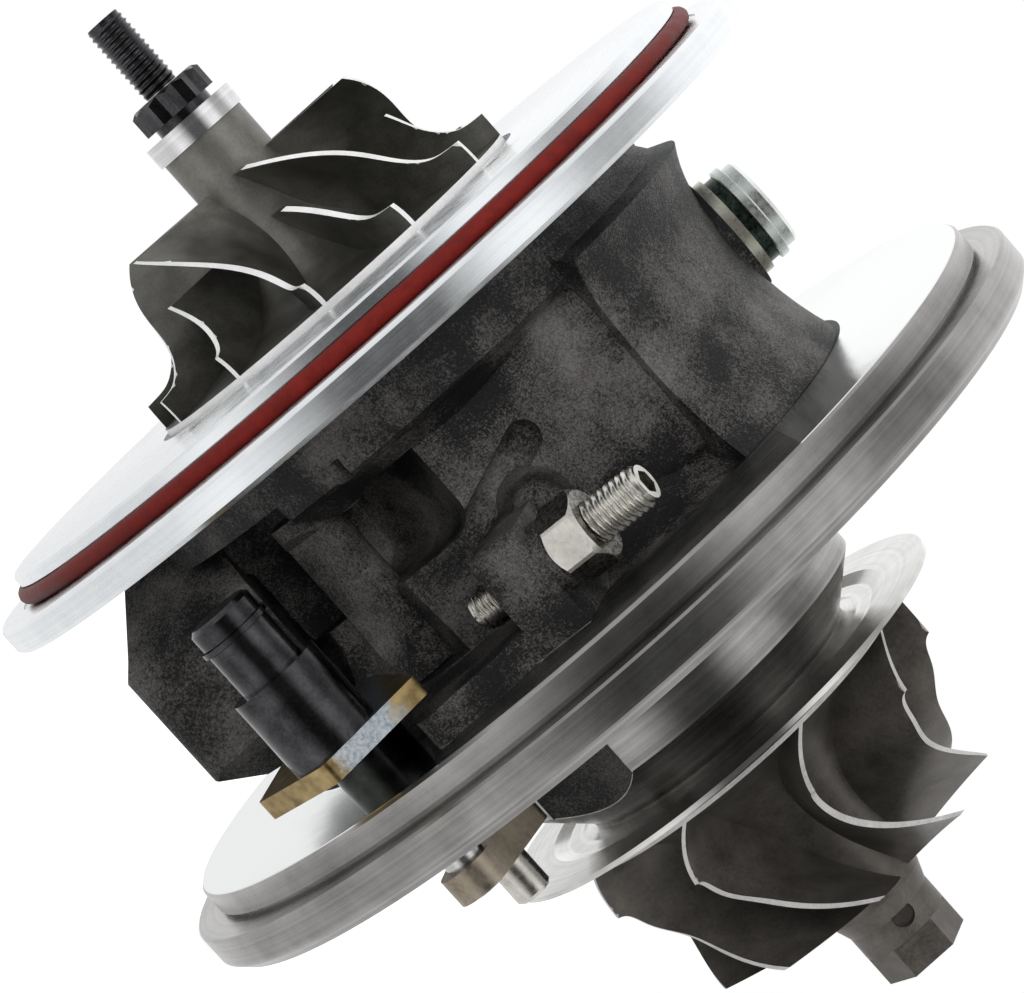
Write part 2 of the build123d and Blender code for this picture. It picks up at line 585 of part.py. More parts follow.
def pin_clip():
    """Open spring clip in the pin's groove."""
    clip = ring(PIN_R + 0.35, PIN_R - 0.76, CLIP_X + 0.1, CLIP_X + 0.7)
    return Pos(0, PIN_Y, PIN_Z) * (clip - Pos(CLIP_X, PIN_R, 0) * Box(4, PIN_R * 1.4, 5.0))


def pivot_shaft():
    """Spindle through the flange, joined to the arm and the crank."""
    return Pos(0, PIVOT_Y, PIVOT_Z) * turned([
        (LEVER_X[0] - 0.5, 0), (LEVER_X[0] - 0.5, PIVOT_R - 0.4), (LEVER_X[0], PIVOT_R),
        (CRANK_X[1], PIVOT_R), (CRANK_X[1] + 0.4, PIVOT_R - 0.4), (CRANK_X[1] + 0.4, 0)])


def lever_bush():
    """Flanged bush pressed into the flange for the lever's spindle."""
    bore = PIVOT_R + 0.04
    return Pos(0, PIVOT_Y, PIVOT_Z) * turned([
        (BUSH_COLLAR_X, bore), (BUSH_COLLAR_X, BUSH_COLLAR_R - 0.3), (BUSH_COLLAR_X + 0.3, BUSH_COLLAR_R),
        (FLANGE_STEP_X, BUSH_COLLAR_R), (FLANGE_STEP_X, BUSH_R), (0.0, BUSH_R), (0.0, bore)])


def crank_arm():
    """Inner arm that turns the vane ring."""
    plate = rounded_hull([(PIVOT_Y, PIVOT_Z, CRANK_HUB_R), (CRANK_PIN_Y, CRANK_PIN_Z, 3.1),
                          (CRANK_TAIL_Y, CRANK_TAIL_Z, 1.8)], *CRANK_X)
    plate -= round_bar(PIVOT_R, CRANK_X[0] - 1, CRANK_X[1] + 1, PIVOT_Y, PIVOT_Z)
    return plate - round_bar(1.6, CRANK_X[0] - 1, CRANK_X[1] + 1, CRANK_PIN_Y, CRANK_PIN_Z)


def crank_pin():
    """Headed pin that engages the vane ring's slot."""
    x = CRANK_X[1]
    return Pos(0, CRANK_PIN_Y, CRANK_PIN_Z) * turned([
        (CRANK_X[0] - 0.4, 0), (CRANK_X[0] - 0.4, 1.4), (CRANK_X[0], 1.6), (x, 1.6), (x, CRANK_PIN_R),
        (CRANK_PIN_END_X - 0.4, CRANK_PIN_R), (CRANK_PIN_END_X, CRANK_PIN_R - 0.4), (CRANK_PIN_END_X, 0)])


# Stop screw

def stop_screw():
    """Set screw with a chamfered point and a hexagon socket."""
    start, end = STOP_ENDS
    screw = chamfer(along_stop(Circle(STOP_R), start, end).edges(), 0.5)
    return screw - along_stop(RegularPolygon(1.44, 6), end - 3.0, end + 1)


def stop_nut():
    """Locknut that clamps the stop screw to its lug."""
    ends = (STOP_NUT_START, STOP_NUT_START + STOP_NUT_HEIGHT)
    blank = along_stop(RegularPolygon(STOP_NUT_AF / 2, 6, major_radius=False, rotation=STOP_NUT_TURN), *ends)
    cone = chamfer(along_stop(Circle(STOP_NUT_AF / 2 + 0.5), *ends).edges(), 0.55)
    return (blank & cone) - along_stop(Circle(STOP_HOLE_R), 0, ends[1] + 1)


# Oil inlet

def inlet_washer():
    """Copper sealing washer under the inlet fitting."""
    return upright_bar(INLET_R, INLET_Z, INLET_Z + 1.3, INLET_X) - upright_bar(
        INLET_THREAD_R, INLET_Z - 1, INLET_Z + 2, INLET_X)


def inlet_fitting():
    """Turned inlet stub with a waist, a collar and an orifice."""
    z = INLET_Z
    half = make_face(Polyline(
        (0, z - 8.5), (INLET_THREAD_R - 0.02, z - 8.5), (INLET_THREAD_R - 0.02, z + 1.3), (5.7, z + 1.3),
        (5.7, z + 2.6), (6.15, z + 2.8), (6.15, z + 3.7), (5.6, z + 3.9), (5.6, z + 5.0),
        (5.2, z + 5.4), (0, z + 5.4), close=True))
    body = Pos(INLET_X, 0, 0) * revolve(Plane.XZ * half, Axis.Z, 360)
    return body - upright_bar(INLET_MOUTH_R, z - 1.0, z + 6, INLET_X) - upright_bar(0.9, z - 9, z, INLET_X)


save("bearing_housing", bearing_housing())
save("backplate", backplate())
save("outer_o_ring", o_ring(
    PLATE_GROOVE_R + O_RING_SECTION_R + 0.02, O_RING_SECTION_R, (sum(GROOVE_X) + STEP_RELIEF) / 2))
save("backplate_screws", backplate_screws())
save("thrust_bearing", thrust_bearing())
save("bearing_circlips", Compound(children=[circlip(x) for x in CLIP_PLACES]))
save("compressor_piston_ring", piston_ring(COMPRESSOR_SEAL_BORE_R, 0.9, THRUST_X - 8.2))
save("turbine_piston_ring", piston_ring(SEAL_BORE_R, 1.1, BOSS_TIP_X - 3.4))
save("heat_shield", heat_shield())
save("vane_ring_dowels", dowels())
save("lever_bush", lever_bush())
save("stop_screw", stop_screw())
save("stop_nut", stop_nut())
save("inlet_washer", inlet_washer())
save("inlet_fitting", inlet_fitting())
save("rotor_shaft", rotor_shaft())
save("compressor_wheel", compressor_wheel())
save("turbine_wheel", turbine_wheel())
save("shaft_nut", shaft_nut())
save("thrust_collar", thrust_collar())
save("oil_flinger", oil_flinger())
save("journal_bearing_compressor", journal_bearing(BEARING_X[0]))
save("journal_bearing_turbine", journal_bearing(BEARING_X[1]))
save("lever_arm", lever_arm())
save("actuator_pin", actuator_pin())
save("pin_clip", pin_clip())
save("pivot_shaft", pivot_shaft())
save("crank_arm", crank_arm())
save("crank_pin", crank_pin())
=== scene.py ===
import json
from math import cos, pi, radians, sin

import bmesh
import bpy
from mathutils import Matrix, Vector


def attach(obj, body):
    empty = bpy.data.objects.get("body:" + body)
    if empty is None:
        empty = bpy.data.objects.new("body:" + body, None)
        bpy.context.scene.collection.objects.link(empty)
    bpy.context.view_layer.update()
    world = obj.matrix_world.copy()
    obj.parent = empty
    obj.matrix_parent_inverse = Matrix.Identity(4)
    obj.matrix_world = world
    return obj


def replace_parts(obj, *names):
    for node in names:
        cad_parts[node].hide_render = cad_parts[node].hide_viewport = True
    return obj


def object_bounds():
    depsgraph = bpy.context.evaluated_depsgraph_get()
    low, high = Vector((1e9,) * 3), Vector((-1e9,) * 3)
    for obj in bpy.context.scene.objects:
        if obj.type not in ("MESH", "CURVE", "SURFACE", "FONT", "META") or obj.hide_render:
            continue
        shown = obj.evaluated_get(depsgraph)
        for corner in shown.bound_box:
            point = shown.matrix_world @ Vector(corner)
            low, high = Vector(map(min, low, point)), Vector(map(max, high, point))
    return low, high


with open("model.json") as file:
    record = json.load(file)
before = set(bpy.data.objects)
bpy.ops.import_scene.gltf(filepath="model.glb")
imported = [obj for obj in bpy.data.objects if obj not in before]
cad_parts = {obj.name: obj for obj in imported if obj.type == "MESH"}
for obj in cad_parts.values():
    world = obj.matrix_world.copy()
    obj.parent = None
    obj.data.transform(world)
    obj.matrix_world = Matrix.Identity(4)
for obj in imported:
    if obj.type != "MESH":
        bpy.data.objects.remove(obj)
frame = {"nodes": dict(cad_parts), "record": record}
cad_box = [list(corner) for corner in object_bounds()]
MM = 0.001

# Camera, fitted to the photograph
CAMERA_TARGET = Vector((-17.6, 0.0, -0.92)) * MM
CAMERA_DISTANCE = 450.0 * MM
CAMERA_TILT = radians(6.8)
CAMERA_ROLL = (0.748, 0.664)
LENS_MM = 142.9

# Threads, which are finer here than in the frame. The stop screw runs from its seat along its tilt
SCREW_SEAT = Vector((-15.45, -42.5, -1.9)) * MM
SCREW_TILT = radians(22.5)
SCREW_ENDS = (-10.0, 13.0)
SCREW_R = 2.45
SCREW_PITCH = 0.8
SCREW_DEPTH = 0.46
SCREW_SOCKET_R = 1.44
SCREW_SOCKET_DEPTH = 3.0
SHAFT_THREAD_X = (-86.38, -76.6)
SHAFT_THREAD_R = 2.28
SHAFT_PITCH = 0.75
SHAFT_DEPTH = 0.26

# Outlines that the blades' ground tips follow, as (x, radius)
COMPRESSOR_TIPS = [(-64.6, 17.3), (-61.8, 17.6), (-59.0, 17.9), (-56.2, 18.4), (-54.9, 18.8), (-53.7, 19.5),
                   (-52.7, 20.5), (-52.0, 21.7), (-51.7, 23.1), (-51.6, 24.5), (-47.3, 24.5)]
TURBINE_TIPS = [(17.9, 23.9), (24.6, 23.9), (25.6, 22.7), (27.0, 22.0), (31.3, 19.7), (32.8, 19.3),
                (34.4, 19.2), (39.2, 19.9)]
TIP_SLACK = 0.3

# Light tent as shiny metal shows it: (turn about the shaft from the camera's side, brightness)
TENT = [(-180, 0.86), (-76, 0.70), (-52, 0.98), (-36, 0.72), (-15, 0.09), (15, 0.09), (34, 0.98), (50, 1.0),
        (66, 0.44), (84, 0.42), (106, 1.0), (180, 1.0)]
TENT_GAIN = 1.1
TENT_SIDE = 0.8
PLAIN_LIGHT = 0.45

# Floor, in metres
FLOOR_REACH = 0.6
FLOOR_GAP = 0.0005
FLOOR_COLOUR = (0.85, 0.85, 0.85, 1.0)
FLOOR_LIFT = (0.80, 0.80, 0.80, 1.0)

# Sharp edges, by the angle between faces
SHARP_PART = radians(28)
SHARP_THREAD = radians(50)


# Shader building

class Value:
    """One number, colour or vector in a shader, which sums and tests can be written with."""

    def __init__(self, graph, socket):
        self.graph = graph
        self.socket = socket

    def math(self, operation, *others):
        return self.graph.node("ShaderNodeMath", [self, *others], operation=operation)

    def __add__(self, other):
        return self.math("ADD", other)

    def __sub__(self, other):
        return self.math("SUBTRACT", other)

    def __mul__(self, other):
        return self.math("MULTIPLY", other)

    def __or__(self, other):
        return self.math("MAXIMUM", other)

    def __and__(self, other):
        return self.math("MINIMUM", other)

    def above(self, limit):
        return self.math("GREATER_THAN", limit)

    def below(self, limit):
        return self.math("LESS_THAN", limit)

    def span(self, low, high, to_low=0.0, to_high=1.0):
        """Maps low..high onto to_low..to_high, clamped."""
        return self.graph.node("ShaderNodeMapRange", [self, low, high, to_low, to_high])

    def blend(self, first, second):
        """A colour between two, by this number."""
        mix = self.graph.tree.nodes.new("ShaderNodeMix")
        mix.data_type = "RGBA"
        for socket, value in zip((mix.inputs[0], mix.inputs[6], mix.inputs[7]), (self, first, second)):
            self.graph.feed(socket, value)
        return Value(self.graph, mix.outputs[2])


class Graph:
    """A node tree with its coordinates, and the distance from the shaft axis."""

    def __init__(self, tree, coordinates, scale):
        self.tree = tree
        source = tree.nodes.new("ShaderNodeTexCoord")
        scaled = tree.nodes.new("ShaderNodeVectorMath")
        scaled.operation = "SCALE"
        scaled.inputs["Scale"].default_value = scale
        tree.links.new(source.outputs[coordinates], scaled.inputs[0])
        self.place = Value(self, scaled.outputs[0])
        split = tree.nodes.new("ShaderNodeSeparateXYZ")
        tree.links.new(scaled.outputs[0], split.inputs[0])
        self.x, self.y, self.z = (Value(self, out) for out in split.outputs)
        self.r = (self.y * self.y + self.z * self.z).math("SQRT")

    def feed(self, socket, value):
        if isinstance(value, Value):
            self.tree.links.new(value.socket, socket)
        elif isinstance(value, tuple) and len(value) == 3 and socket.type == "RGBA":
            socket.default_value = (*value, 1.0)
        else:
            socket.default_value = value

    def node(self, kind, values, **settings):
        made = self.tree.nodes.new(kind)
        for key, value in settings.items():
            setattr(made, key, value)
        for socket, value in zip(made.inputs, values):
            self.feed(socket, value)
        return Value(self, made.outputs[0])

    def vector(self, x, y, z):
        return self.node("ShaderNodeCombineXYZ", [x, y, z])

    def noise(self, scale, detail=3.0, rough=0.55, at=None):
        made = self.tree.nodes.new("ShaderNodeTexNoise")
        self.feed(made.inputs["Vector"], at or self.place)
        made.inputs["Scale"].default_value = scale
        made.inputs["Detail"].default_value = detail
        made.inputs["Roughness"].default_value = rough
        return Value(self, made.outputs["Fac"])

    def turned(self, scale):
        """Fine rings about the shaft, on faces and on cylinders."""
        return self.noise(scale, 2.0, 0.6, at=self.vector(self.x, self.r, 0.0))

    def bump(self, height, distance, strength=1.0, on=None):
        made = self.tree.nodes.new("ShaderNodeBump")
        made.inputs["Strength"].default_value = strength
        made.inputs["Distance"].default_value = distance * MM
        self.feed(made.inputs["Height"], height)
        if on:
            self.feed(made.inputs["Normal"], on)
        return Value(self, made.outputs[0])

    def ramp(self, factor, stops):
        """Brightness read off a line through (place from 0 to 1, brightness) points."""
        made = self.tree.nodes.new("ShaderNodeValToRGB")
        self.feed(made.inputs[0], factor)
        points = made.color_ramp.elements
        while len(points) < len(stops):
            points.new(0.5)
        for point, (place, bright) in zip(points, stops):
            point.position = place
            point.color = (bright, bright, bright, 1.0)
        return Value(self, made.outputs[0])


class Finish(Graph):
    """A material, with its coordinates in millimetres."""

    def __init__(self, name):
        self.material = bpy.data.materials.new(name)
        self.material.use_nodes = True
        super().__init__(self.material.node_tree, "Object", 1 / MM)

    def finish(self, **inputs):
        bsdf = self.tree.nodes["Principled BSDF"]
        for name, value in inputs.items():
            self.feed(bsdf.inputs[name.replace("_", " ")], value)
        return self.material

    def grooved(self, amount, **inputs):
        """Finish whose shine is drawn out across grooves that run round the shaft."""
        tangent = self.tree.nodes.new("ShaderNodeTangent")
        tangent.direction_type = "RADIAL"
        tangent.axis = "X"
        return self.finish(Anisotropic=amount, Anisotropic_Rotation=0.25,
                           Tangent=Value(self, tangent.outputs[0]), **inputs)


def casting_look(g):
    """Colour, roughness and grain of the black casting."""
    sand = g.noise(2.2, 2.0, 0.6)
    specks = g.noise(4.6, 2.0, 0.6)
    patches = g.noise(0.11, 3.0)
    tone = (specks * 0.7 + sand * 0.4 + patches * 1.1).span(1.02, 1.42)
    colour = tone.blend((0.0075, 0.007, 0.007), (0.125, 0.118, 0.112))
    return colour, specks.span(0.4, 0.65, 0.62, 0.42), specks * 0.7 + sand * 0.5 + patches * 1.4


def iron_look(g):
    """Colour, roughness and rings of the machined iron."""
    rings = g.turned(1.6)
    fine = g.turned(9.0)
    stain = g.noise(0.16, 4.0)
    colour = (rings * 0.6 + stain * 0.5).span(0.38, 0.72).blend((0.20, 0.195, 0.19), (0.42, 0.41, 0.40))
    return colour, (fine * 0.4 + stain * 0.3).span(0.2, 0.5, 0.22, 0.34), rings * 0.6 + fine * 0.4


def housing_material():
    """Black casting, grey machined rims, boss and pads, and a painted reflection that makes both ends of the
    flange face near white.
    """
    g = Finish("casting")
    cast, cast_rough, cast_height = casting_look(g)
    iron, iron_rough, iron_height = iron_look(g)
    flange = g.x.above(-8.45) & g.r.above(38.8)
    # Painted reflection: beyond |z| 24 the flange face is coloured near white, and made a little smoother,
    # as if it mirrored the white surroundings.
    step = flange & g.x.below(-8.3) & g.z.math("ABSOLUTE").above(24.0)
    boss = g.x.above(-0.35) & (g.r.above(23.35) | (g.x.above(10.8) & (g.x * 1.04 + g.r).above(34.4)))
    drain = g.z.below(-44.6) & g.r.below(50.0)
    inlet = g.z.above(36.25) & g.z.below(36.36) & (g.x + 23.7).math("ABSOLUTE").below(7.6)
    machined = flange | boss | drain | inlet | g.x.below(-40.9)
    # The near white painted reflection goes on the flange face's ends, machined iron elsewhere.
    colour = machined.blend(cast, step.blend(iron, (0.80, 0.83, 0.82)))
    rough = cast_rough + (iron_rough - cast_rough - step * 0.12) * machined
    height = cast_height * (machined * -1.0 + 1.0) + iron_height * machined * 0.06
    return g.grooved(machined * 0.7, Base_Color=colour, Roughness=rough, Metallic=machined,
                     Normal=g.bump(height, 0.12), Specular_IOR_Level=0.3)


def turned_metal(name, dark, light, rough=(0.2, 0.36), rings=4.0, depth=0.006, spots=0.3, drawn=0.7):
    """Metal with turning rings, slight stains and uneven shine."""
    g = Finish(name)
    coarse = g.turned(rings)
    fine = g.turned(rings * 4.0)
    stain = g.noise(spots, 4.0)
    tone = (coarse * 0.5 + stain * 0.5).span(0.35, 0.65)
    shine = (fine * 0.5 + stain * 0.5).span(0.3, 0.7, rough[0], rough[1])
    return g.grooved(drawn, Base_Color=tone.blend(dark, light), Metallic=1.0, Roughness=shine,
                     Normal=g.bump(coarse * 0.5 + fine * 0.5, depth))


def grained_metal(name, dark, light, rough=(0.3, 0.5), grain=3.0, depth=0.02, metallic=1.0):
    """Metal with an even fine grain, as plated or cast parts have."""
    g = Finish(name)
    fine = g.noise(grain, 4.0, 0.6)
    patches = g.noise(grain * 0.12, 3.0)
    tone = (fine * 0.4 + patches * 0.6).span(0.35, 0.65)
    return g.finish(Base_Color=tone.blend(dark, light), Metallic=metallic,
                    Roughness=fine.span(0.3, 0.7, rough[0], rough[1]),
                    Normal=g.bump(fine * 0.6 + patches * 0.4, depth))


def rubber_material():
    g = Finish("red_rubber")
    fine = g.noise(6.0, 3.0)
    dust = g.noise(0.5, 5.0, 0.7)
    colour = dust.span(0.35, 0.75).blend((0.10, 0.006, 0.004), (0.18, 0.012, 0.008))
    return g.finish(Base_Color=colour, Roughness=dust.span(0.3, 0.7, 0.42, 0.6),
                    Normal=g.bump(fine, 0.02), Specular_IOR_Level=0.2)


def ground_material():
    """Ground steel, made near black on the lever's bush where it stands out of the flange."""
    g = Finish("ground_steel")
    rings = g.turned(6.0)
    stain = g.noise(0.3, 4.0)
    steel = (rings * 0.5 + stain * 0.5).span(0.35, 0.65).blend((0.42, 0.42, 0.42), (0.66, 0.66, 0.65))
    # The lever's bush is coloured near black above the flange face, below z -20.
    bush_dark_end = g.x.below(-8.2) & g.z.below(-20.0)
    bush_dark_tone = stain.span(0.35, 0.65).blend((0.012, 0.012, 0.012), (0.05, 0.055, 0.05))
    return g.finish(Base_Color=bush_dark_end.blend(steel, bush_dark_tone), Metallic=1.0,
                    Roughness=rings.span(0.3, 0.7, 0.14, 0.28), Normal=g.bump(rings, 0.006))


def zinc_material():
    """White zinc plating, with dark green painted shade in the groove above the inlet's washer."""
    g = Finish("zinc_steel")
    fine = g.noise(2.0, 4.0, 0.6)
    plating = fine.span(0.35, 0.65).blend((0.74, 0.78, 0.74), (0.93, 0.94, 0.91))
    # Painted shade, dark green and almost black, for the groove above the washer.
    groove_painted_shade = fine.span(0.35, 0.65).blend((0.012, 0.02, 0.016), (0.07, 0.09, 0.075))
    groove = g.z.above(37.5) & g.z.below(38.95)
    return g.finish(Base_Color=groove.blend(plating, groove_painted_shade), Metallic=1.0,
                    Roughness=fine.span(0.3, 0.7, 0.22, 0.4), Normal=g.bump(fine, 0.01))


def gold_zinc_material():
    """Yellow zinc plating with a bluish worn patch in its middle."""
    g = Finish("gold_zinc")
    fine = g.noise(2.2, 4.0, 0.65)
    cloud = g.noise(0.55, 4.0, 0.6)
    gold = cloud.span(0.3, 0.7).blend((0.17, 0.12, 0.05), (0.48, 0.36, 0.17))
    place = g.z + cloud * 5.0
    patch = place.span(-29.4, -27.6) & (place * -1.0).span(20.0, 21.8)
    blue = fine.span(0.35, 0.65).blend((0.22, 0.27, 0.31), (0.58, 0.61, 0.64))
    return g.finish(Base_Color=patch.blend(gold, blue), Metallic=1.0,
                    Roughness=fine.span(0.3, 0.7, 0.28, 0.44), Normal=g.bump(fine, 0.03))


def wheel_material():
    """Cast aluminium, grey on the hub, with painted shade darkening the blades' flanks."""
    g = Finish("wheel_aluminium")
    fine = g.noise(3.0, 4.0, 0.6)
    patches = g.noise(0.36, 3.0)
    tone = (fine * 0.4 + patches * 0.6).span(0.35, 0.65)
    # Painted shade: the blades' flanks get this darker colour, outside radius 8.5 to 12.5.
    flank_painted_shade = tone.blend((0.050, 0.049, 0.042), (0.105, 0.102, 0.090))
    hub = tone.blend((0.13, 0.126, 0.112), (0.23, 0.222, 0.202))
    return g.finish(Base_Color=g.r.span(8.5, 12.5).blend(hub, flank_painted_shade), Metallic=0.6,
                    Roughness=fine.span(0.3, 0.7, 0.32, 0.46),
                    Normal=g.bump(fine * 0.6 + patches * 0.4, 0.02))


FINISHES = {
    "casting": housing_material(),
    "machined_aluminium": turned_metal("machined_aluminium", (0.78, 0.81, 0.84), (0.91, 0.93, 0.94),
                                       (0.2, 0.36), 2.0),
    "red_rubber": rubber_material(),
    "zinc_steel": zinc_material(),
    "bronze": turned_metal("bronze", (0.50, 0.30, 0.13), (0.72, 0.48, 0.24), (0.22, 0.4), 3.0),
    "spring_steel": grained_metal("spring_steel", (0.18, 0.18, 0.19), (0.34, 0.34, 0.35), (0.25, 0.4)),
    "shield_steel": turned_metal("shield_steel", (0.50, 0.50, 0.48), (0.72, 0.72, 0.70), (0.12, 0.2), 1.5),
    "ground_steel": ground_material(),
    "nickel_steel": grained_metal("nickel_steel", (0.46, 0.44, 0.40), (0.80, 0.78, 0.73), (0.18, 0.34), 2.0),
    "copper": grained_metal("copper", (0.55, 0.52, 0.42), (0.82, 0.80, 0.70), (0.25, 0.4)),
    "wheel_aluminium": wheel_material(),
    "wheel_alloy": grained_metal("wheel_alloy", (0.075, 0.068, 0.060), (0.15, 0.138, 0.124), (0.34, 0.5),
                                 2.4, 0.03, 0.6),
    "black_oxide": grained_metal("black_oxide", (0.030, 0.030, 0.032), (0.085, 0.085, 0.09), (0.14, 0.24),
                                 3.0, 0.008),
    "gold_zinc": gold_zinc_material(),
    "crank_steel": grained_metal("crank_steel", (0.20, 0.165, 0.12), (0.46, 0.40, 0.32), (0.3, 0.5),
                                 1.6, 0.04),
}
BRIGHT_TIP = grained_metal("bright_tip", (0.78, 0.78, 0.77), (0.92, 0.92, 0.91), (0.4, 0.5), 3.0, 0.01, 0.5)
GREY_TIP = grained_metal("grey_tip", (0.42, 0.41, 0.40), (0.62, 0.61, 0.60), (0.4, 0.5), 3.0, 0.01, 0.5)
COLLAR = turned_metal("wheel_collar", (0.62, 0.62, 0.63), (0.86, 0.86, 0.87), (0.12, 0.22), 3.0)

for part in frame["record"]["subparts"]:
    node = frame["nodes"][part["node"]]
    node.data.materials.clear()
    node.data.materials.append(FINISHES[part["material_slot"]])
    node.data.shade_smooth()
    node.data.set_sharp_from_angle(angle=SHARP_PART)


def near_line(point, line):
    """Distance from a point to a run of straight pieces."""
    best = 1e9
    for a, b in zip(line, line[1:]):
        along = b - a
        t = min(max((point - a).dot(along) / along.length_squared, 0.0), 1.0)
        best = min(best, (point - a - along * t).length)
    return best


def repaint(name, finish, chosen):
    """Gives another finish to the faces of a node whose corners, in millimetres, are all chosen."""
    mesh = frame["nodes"][name].data
    mesh.materials.append(finish)
    for face in mesh.polygons:
        if all(chosen(mesh.vertices[i].co / MM) for i in face.vertices):
            face.material_index = len(mesh.materials) - 1


def on_outline(outline):
    """Test for corners that lie on a wheel's shroud outline."""
    line = [Vector(point) for point in outline]
    return lambda corner: near_line(Vector((corner.x, corner.yz.length)), line) < TIP_SLACK


repaint("compressor_wheel", BRIGHT_TIP, on_outline(COMPRESSOR_TIPS))
repaint("compressor_wheel", COLLAR, lambda corner: corner.x < -69.95)
repaint("turbine_wheel", GREY_TIP, on_outline(TURBINE_TIPS))
repaint("rotor_shaft", FINISHES["black_oxide"], lambda corner: corner.x < SHAFT_THREAD_X[1])


# Screw threads

def thread_mesh(name, length, radius, pitch, depth, lead_in=1.0):
    """A closed rod along +Z from 0 to length with a helical V thread."""
    around = 48
    steps = int(length / pitch * 10)
    bm = bmesh.new()
    rings = []
    for i in range(steps + 1):
        z = length * i / steps
        ring = []
        for j in range(around):
            phase = (z / pitch - j / around) % 1.0
            ridge = min(abs(phase - 0.5) * 2.6, 1.0)
            taper = min(1.0, z / lead_in, (length - z) / lead_in)
            reach = radius - depth * max(ridge, 1.0 - taper)
            turn = 2 * pi * j / around
            ring.append(bm.verts.new((reach * cos(turn) * MM, reach * sin(turn) * MM, z * MM)))
        rings.append(ring)
    for low, high in zip(rings, rings[1:]):
        for j in range(around):
            k = (j + 1) % around
            bm.faces.new((low[j], low[k], high[k], high[j]))
    bm.faces.new(list(reversed(rings[0])))
    bm.faces.new(rings[-1])
    mesh = bpy.data.meshes.new(name)
    bm.to_mesh(mesh)
    bm.free()
    mesh.shade_smooth()
    mesh.set_sharp_from_angle(angle=SHARP_THREAD)
    return mesh


def prism_mesh(name, sides, radius, low, high):
    """A regular prism along Z, used as a cutter."""
    bm = bmesh.new()
    ends = []
    for z in (low, high):
        turns = [2 * pi * i / sides for i in range(sides)]
        corners = [(radius * cos(turn) * MM, radius * sin(turn) * MM, z * MM) for turn in turns]
        ends.append([bm.verts.new(corner) for corner in corners])
    bm.faces.new(list(reversed(ends[0])))
    bm.faces.new(ends[1])
    for i in range(sides):
        k = (i + 1) % sides
        bm.faces.new((ends[0][i], ends[0][k], ends[1][k], ends[1][i]))
    mesh = bpy.data.meshes.new(name)
    bm.to_mesh(mesh)
    bm.free()
    return mesh


def add(name, mesh, finish, body):
    """Puts a piece in the scene, on a body, with a finish from the record."""
    piece = bpy.data.objects.new(name, mesh)
    bpy.context.scene.collection.objects.link(piece)
    mesh.materials.clear()
    mesh.materials.append(FINISHES[finish])
    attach(piece, body)
    return piece


def cut(mesh, cutter):
    """The first mesh less the second."""
    whole = bpy.data.objects.new("whole", mesh)
    tool = bpy.data.objects.new("tool", cutter)
    for made in (whole, tool):
        bpy.context.scene.collection.objects.link(made)
    step = whole.modifiers.new("cut", "BOOLEAN")
    step.operation = "DIFFERENCE"
    step.object = tool
    step.solver = "EXACT"
    result = bpy.data.meshes.new_from_object(whole.evaluated_get(bpy.context.evaluated_depsgraph_get()))
    for made in (whole, tool):
        bpy.data.objects.remove(made)
    return result


screw_length = SCREW_ENDS[1] - SCREW_ENDS[0]
screw = cut(thread_mesh("stop_screw_thread", screw_length, SCREW_R, SCREW_PITCH, SCREW_DEPTH),
            prism_mesh("socket", 6, SCREW_SOCKET_R, screw_length - SCREW_SOCKET_DEPTH, screw_length + 1.0))
screw.transform(Matrix.Translation(SCREW_SEAT) @ Matrix.Rotation(SCREW_TILT, 4, "X")
                @ Matrix.Translation((0, 0, SCREW_ENDS[0] * MM)))
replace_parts(add("stop_screw_threaded", screw, "nickel_steel", "housing"), "stop_screw")

thread_start, thread_end = SHAFT_THREAD_X
shaft_thread = thread_mesh("shaft_thread", thread_end - thread_start, SHAFT_THREAD_R, SHAFT_PITCH,
                           SHAFT_DEPTH)
shaft_thread.transform(Matrix.Translation((thread_start * MM, 0, 0)) @ Matrix.Rotation(pi / 2, 4, "Y"))
add("shaft_thread", shaft_thread, "black_oxide", "rotor")


# Stage

up = Vector((0, 0, 1))
view_down = Vector((cos(CAMERA_TILT), -sin(CAMERA_TILT), 0))
right = CAMERA_ROLL[0] * up + CAMERA_ROLL[1] * view_down
above = CAMERA_ROLL[1] * up - CAMERA_ROLL[0] * view_down
back = right.cross(above)

camera = bpy.data.objects.new("camera", bpy.data.cameras.new("camera"))
camera.data.lens = LENS_MM
camera.data.sensor_width = 36.0
camera.data.clip_start = 0.01
camera.matrix_world = Matrix.Translation(CAMERA_TARGET + back * CAMERA_DISTANCE) @ Matrix(
    (right, above, back)).transposed().to_4x4()
bpy.context.scene.collection.objects.link(camera)
bpy.context.scene.camera = camera


def softbox(name, toward, distance, size, power):
    """A soft square light that faces the part from a direction given as right, above and back."""
    lamp = bpy.data.lights.new(name, "AREA")
    lamp.size = size
    lamp.energy = power
    holder = bpy.data.objects.new(name, lamp)
    direction = (toward[0] * right + toward[1] * above + toward[2] * back).normalized()
    holder.location = CAMERA_TARGET + direction * distance
    holder.rotation_euler = direction.to_track_quat("Z", "Y").to_euler()
    holder.visible_glossy = False
    bpy.context.scene.collection.objects.link(holder)


softbox("front", (0.1, 0.25, 1.0), 0.7, 0.35, 2.6)
softbox("key", (0.5, 0.9, 0.5), 0.6, 0.5, 1.1)


def mixed(tree, factor, first, second):
    """Two shaders, the second where the factor is 1."""
    mix = tree.nodes.new("ShaderNodeMixShader")
    tree.links.new(factor, mix.inputs[0])
    tree.links.new(first.outputs[0], mix.inputs[1])
    tree.links.new(second.outputs[0], mix.inputs[2])
    return mix


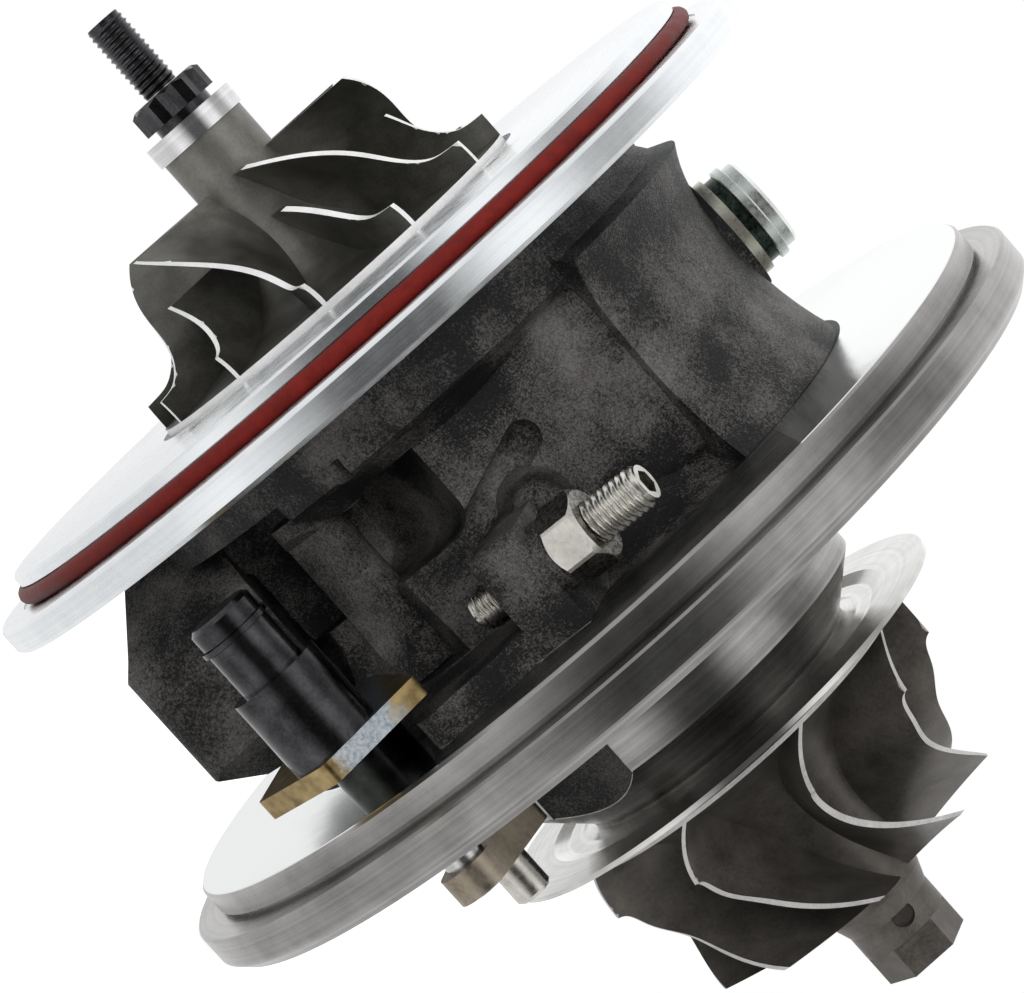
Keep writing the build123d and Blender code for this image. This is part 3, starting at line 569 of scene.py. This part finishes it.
def pale_floor():
    """A pale floor just under the part's lowest point, white to the camera where no shadow falls."""
    level = cad_box[0][2] - FLOOR_GAP
    corners = [(x * FLOOR_REACH, y * FLOOR_REACH, level) for x, y in ((-1, -1), (1, -1), (1, 1), (-1, 1))]
    mesh = bpy.data.meshes.new("floor")
    mesh.from_pydata(corners, [], [(0, 1, 2, 3)])
    floor = bpy.data.objects.new("floor", mesh)
    material = bpy.data.materials.new("floor")
    material.use_nodes = True
    tree = material.node_tree
    diffuse = tree.nodes["Principled BSDF"]
    diffuse.inputs["Base Color"].default_value = FLOOR_COLOUR
    diffuse.inputs["Roughness"].default_value = 0.8
    path = tree.nodes.new("ShaderNodeLightPath")
    tree.links.new(path.outputs["Is Camera Ray"], diffuse.inputs["Emission Strength"])
    diffuse.inputs["Emission Color"].default_value = FLOOR_LIFT
    mesh.materials.append(material)
    floor.visible_glossy = False
    bpy.context.scene.collection.objects.link(floor)


def studio_world():
    """Plain light all round, a striped light tent for shiny metal, and pure white to the camera."""
    world = bpy.data.worlds.new("studio")
    bpy.context.scene.world = world
    world.use_nodes = True
    tree = world.node_tree
    plain = tree.nodes["Background"]
    plain.inputs["Color"].default_value = (1.0, 1.0, 1.0, 1.0)
    plain.inputs["Strength"].default_value = PLAIN_LIGHT
    g = Graph(tree, "Generated", 1.0)
    turn = g.z.math("ARCTAN2", g.y * -1.0)
    stripes = g.ramp(turn.span(-pi, pi), [((turn_at + 180) / 360, bright) for turn_at, bright in TENT])
    side = g.x.math("ABSOLUTE").span(0.5, 0.8)
    tent = tree.nodes.new("ShaderNodeBackground")
    g.feed(tent.inputs["Color"], side.blend(stripes, (TENT_SIDE, TENT_SIDE, TENT_SIDE)))
    tent.inputs["Strength"].default_value = TENT_GAIN
    white = tree.nodes.new("ShaderNodeBackground")
    white.inputs["Color"].default_value = (1.0, 1.0, 1.0, 1.0)
    path = tree.nodes.new("ShaderNodeLightPath")
    lit = mixed(tree, path.outputs["Is Glossy Ray"], plain, tent)
    clear = mixed(tree, path.outputs["Is Transmission Ray"], lit, white)
    shown = mixed(tree, path.outputs["Is Camera Ray"], clear, white)
    tree.links.new(shown.outputs[0], tree.nodes["World Output"].inputs[0])


pale_floor()
studio_world()
bpy.context.scene.view_settings.view_transform = "Standard"
